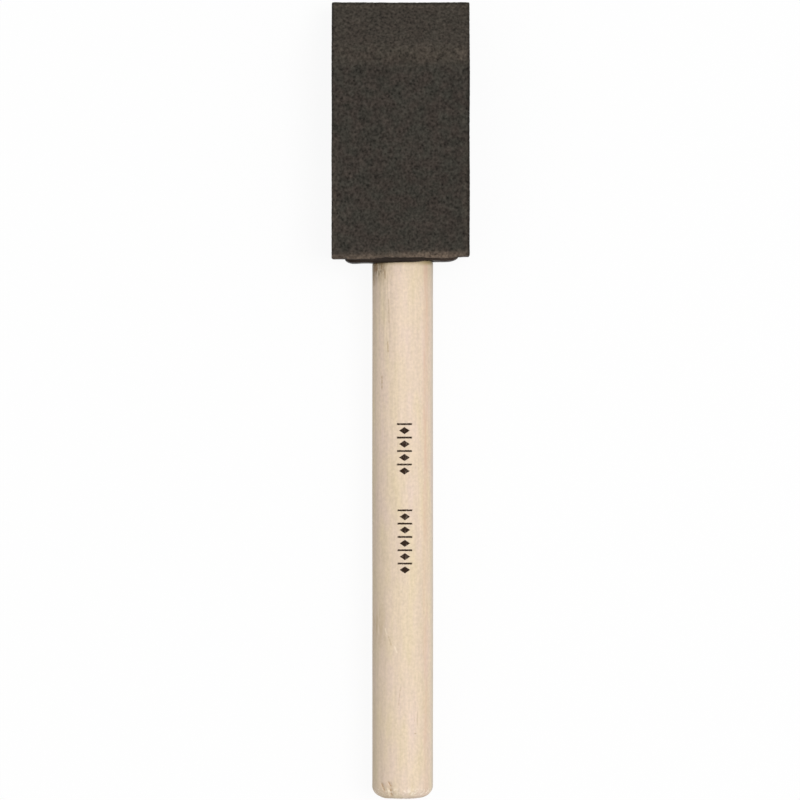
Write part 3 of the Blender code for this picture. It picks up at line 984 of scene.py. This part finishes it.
def handle_rings():
    """Rings from the tenon's end to the middle of the butt."""
    shoulder = FLANGE_X - SHOULDER_GAP
    profile = [(TENON_X, 0.05 * MM), (TENON_X, TENON_RADIUS - 0.6 * MM), (TENON_X - 0.6 * MM, TENON_RADIUS)]
    profile += [(x, TENON_RADIUS) for x in np.linspace(TENON_X - 1 * MM, shoulder, 10)]
    profile += [(shoulder, r) for r in np.linspace(TENON_RADIUS, HANDLE_RADIUS - 0.25 * MM, 6)[1:]]
    profile += [(shoulder - 0.07 * MM, HANDLE_RADIUS - 0.07 * MM)]
    butt_start = BUTT_X + BUTT_ALONG
    body = steps_between(shoulder - 0.25 * MM, butt_start + 2 * MM, 0.4 * MM)
    profile += [(x, HANDLE_RADIUS) for x in body]
    profile += [(x, HANDLE_RADIUS) for x in steps_between(butt_start + 2 * MM, butt_start, 0.16 * MM)]
    for angle in np.radians(np.linspace(0, 90, 22)):
        along = BUTT_X + BUTT_ALONG * (1 - math.sin(angle))
        profile.append((along, HANDLE_RADIUS - BUTT_ACROSS * (1 - math.cos(angle))))
    flat = HANDLE_RADIUS - BUTT_ACROSS
    profile += [(BUTT_X, r) for r in np.linspace(flat, 0.05 * MM, 12)[1:]]
    angles = np.linspace(0, 2 * math.pi, HANDLE_POINTS, endpoint=False)
    rings = []
    for x, radius in profile:
        rings.append(
            np.stack(
                [
                    np.full(HANDLE_POINTS, x),
                    radius * np.cos(angles),
                    AXIS_Z + radius * np.sin(angles),
                ],
                axis=1,
            )
        )
    return rings


def make_handle():
    """The dowel, very slightly uneven, its butt sanded round by hand with a few torn fibres."""
    mesh = skin("wooden_handle", handle_rings())
    merge_points(mesh, 0.002 * MM)
    places = places_of(mesh)
    normals = normals_of(mesh)
    x, y, z = places.T
    outside = step(-x, -(FLANGE_X - 0.3 * MM), -(FLANGE_X - 1.2 * MM))
    lumps = sampled(noise.noise, places * np.array([0.25, 1, 1]), 4 * MM)
    grain = sampled(noise.noise, places * np.array([0.06, 1, 1]), 0.45 * MM)
    butt = 1 - step(x, BUTT_X + 0.5 * MM, BUTT_X + 3.5 * MM)
    nicks = sampled(noise.noise, places * np.array([0.35, 1, 1]) + 0.013, 0.8 * MM)
    move = 0.035 * MM * lumps + 0.012 * MM * grain
    move -= 0.16 * MM * butt * np.clip(nicks - 0.12, 0, 1)
    move += 0.10 * MM * butt * lumps
    for start, end, middle_y, half_width, slant in TORN_GAPS:
        middle_x = BUTT_X + (start + end) / 2
        across = (y - middle_y - slant * (x - middle_x)) / half_width
        along = np.clip(np.abs(x - middle_x) / (start - end) * 2, 0, 1)
        move -= TORN_DEPTH * np.exp(-(across**2)) * (1 - along**4) * (z > AXIS_Z)
    places += normals * (move * outside)[:, None]
    near_shoulder = step(x, FLANGE_X - 2 * MM, FLANGE_X - 0.5 * MM) * (x < FLANGE_X)
    places[:, 0] += dented(places) * near_shoulder * (np.hypot(y, z - AXIS_Z) > BORE_RADIUS + 0.9 * MM)
    places += skewed(places)
    set_places(mesh, places)
    return show("wooden_handle", mesh, wood_material())


# ---------------------------------------------------------------- stage


def make_camera():
    """Looks straight down on the brush, with its tip at the top of the picture."""
    data = bpy.data.cameras.new("camera")
    data.lens = LENS
    data.sensor_width = SENSOR
    camera = bpy.data.objects.new("camera", data)
    distance = VIEW_HEIGHT / 2 / (SENSOR / 2 / LENS)
    middle_x = (CAD_BOUNDS[0].x + CAD_BOUNDS[1].x) / 2
    camera.location = (middle_x, VIEW_ASIDE, AXIS_Z + distance)
    camera.rotation_euler = (0, 0, -math.pi / 2)
    data.clip_start = NEAREST
    data.clip_end = FARTHEST
    bpy.context.scene.collection.objects.link(camera)
    bpy.context.scene.camera = camera


def make_floor():
    """A round sheet of paper whose far rim curls up behind everything."""
    points = []
    for radius, height in FLOOR_ROWS:
        for i in range(FLOOR_POINTS):
            turn = 2 * math.pi * i / FLOOR_POINTS
            points.append((radius * math.cos(turn), radius * math.sin(turn), FOAM_LOW.z + height))
    faces = [tuple(range(FLOOR_POINTS))]
    for row in range(len(FLOOR_ROWS) - 1):
        for i in range(FLOOR_POINTS):
            j = (i + 1) % FLOOR_POINTS
            first = row * FLOOR_POINTS
            faces.append((first + i, first + FLOOR_POINTS + i, first + FLOOR_POINTS + j, first + j))
    mesh = bpy.data.meshes.new("floor")
    mesh.from_pydata(points, [], faces)
    show("floor", mesh, floor_material())


def make_light():
    """Surroundings brightest overhead, and one large soft light above, on the right of the picture."""
    world = bpy.data.worlds.new("surroundings")
    world.use_nodes = True
    nodes, links = world.node_tree.nodes, world.node_tree.links
    background = nodes["Background"]
    background.inputs["Color"].default_value = (1, 1, 1, 1)
    place = nodes.new("ShaderNodeTexCoord")
    axes = nodes.new("ShaderNodeSeparateXYZ")
    height = nodes.new("ShaderNodeMapRange")
    height.inputs["To Min"].default_value = SKY_LOW
    height.inputs["To Max"].default_value = SKY_HIGH
    links.new(place.outputs["Generated"], axes.inputs[0])
    links.new(axes.outputs["Z"], height.inputs["Value"])
    links.new(height.outputs["Result"], background.inputs["Strength"])
    bpy.context.scene.world = world
    data = bpy.data.lights.new("key", "SUN")
    data.energy = KEY_STRENGTH
    data.angle = KEY_ANGLE
    key = bpy.data.objects.new("key", data)
    key.rotation_euler = Vector(KEY_FROM).to_track_quat("Z", "Y").to_euler()
    bpy.context.scene.collection.objects.link(key)
    bpy.context.scene.view_settings.view_transform = "Standard"


# ---------------------------------------------------------------- the brush

foam = make_foam()
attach(foam, "root")
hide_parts("foam_head")

handle = make_handle()
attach(handle, "root")
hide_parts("handle")

insert = make_insert()
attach(insert, "root")
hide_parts("plastic_insert")

for node, material in (
    ("blade_adhesive_front", adhesive_material()),
    ("blade_adhesive_back", adhesive_material()),
    ("socket_adhesive", adhesive_material()),
):
    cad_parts[node].data.materials.clear()
    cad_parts[node].data.materials.append(material)

make_floor()
make_light()
make_camera()
